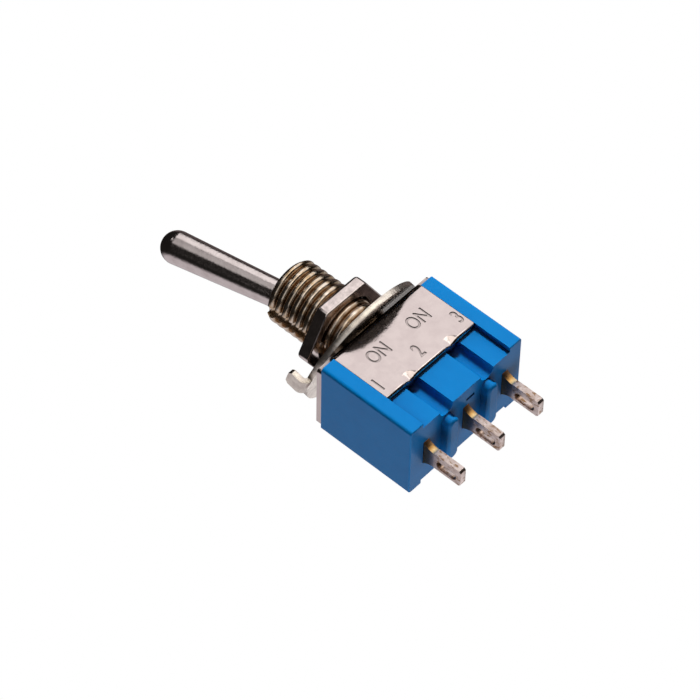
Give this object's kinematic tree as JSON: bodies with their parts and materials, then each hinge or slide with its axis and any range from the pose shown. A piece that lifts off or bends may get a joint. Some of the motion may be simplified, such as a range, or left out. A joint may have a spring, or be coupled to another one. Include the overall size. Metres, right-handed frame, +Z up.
{
  "type": "toggle switch",
  "caption": "Miniature panel-mount toggle switch: blue moulded housing in a folded metal cover, threaded bushing with hex nut and tanged washer, round lever and slotted solder lugs.",
  "frame": {"origin": "where the bushing's axis crosses the mounting seat, the top of the metal cover", "axes": "+Z up the bushing towards the lever; X along the row of solder lugs, the lever swings in XZ and lies over towards -X at rest, the bushing's keyway is on the -X side; -Y is the marked wide face"},
  "size_m": [0.0135, 0.0121, 0.0342],
  "materials": {
    "blue_moulding": "glossy blue thermoset moulding",
    "cover_steel": "satin tin-plated steel sheet",
    "bushing_plate": "nickel-plated brass, machine-cut thread",
    "lever_plate": "polished nickel plate over brass",
    "spring_steel": "drawn spring wire",
    "plunger_plastic": "natural acetal",
    "contact_silver": "silver-plated copper alloy",
    "lug_silver": "silver-plated brass, stamped",
    "washer_steel": "nickel-plated pressed steel",
    "nut_plate": "bright nickel plate over brass"
  },
  "bodies": {
    "body": {"housing": "blue_moulding", "metal_cover": "cover_steel", "threaded_bushing": "bushing_plate", "terminal_left": "lug_silver", "terminal_common": "lug_silver", "terminal_right": "lug_silver", "fixed_contact_left": "contact_silver", "fixed_contact_right": "contact_silver", "key_washer": "washer_steel"},
    "lever": {"bat_lever": "lever_plate", "plunger_spring": "spring_steel"},
    "plunger": {"plunger": "plunger_plastic"},
    "rocker": {"rocker_blade": "contact_silver", "rocker_contact_left": "contact_silver", "rocker_contact_right": "contact_silver"},
    "nut": {"hex_nut": "nut_plate"}
  },
  "joints": [
    {"name": "lever_toggle", "type": "hinge", "parent": "body", "child": "lever", "pos_m": [0, 0, 0.0046], "axis": [0, 1, 0], "range_deg": [0, 24]},
    {"name": "plunger_slide", "type": "slide", "parent": "lever", "child": "plunger", "axis": [-0.2079, 0, 0.9781], "range_m": [0, 0.0003], "stiffness_N_per_m": 300, "springref_m": -0.003},
    {"name": "contact_rock", "type": "hinge", "parent": "body", "child": "rocker", "pos_m": [0, 0, -0.006], "axis": [0, 1, 0], "range_deg": [-12, 0]},
    {"name": "nut_travel", "type": "slide", "parent": "body", "child": "nut", "axis": [0, 0, 1], "range_m": [0, 0.0047]}
  ],
  "couplings": [
    {"joint": "contact_rock", "follows": "lever_toggle", "ratio": -0.5}
  ]
}
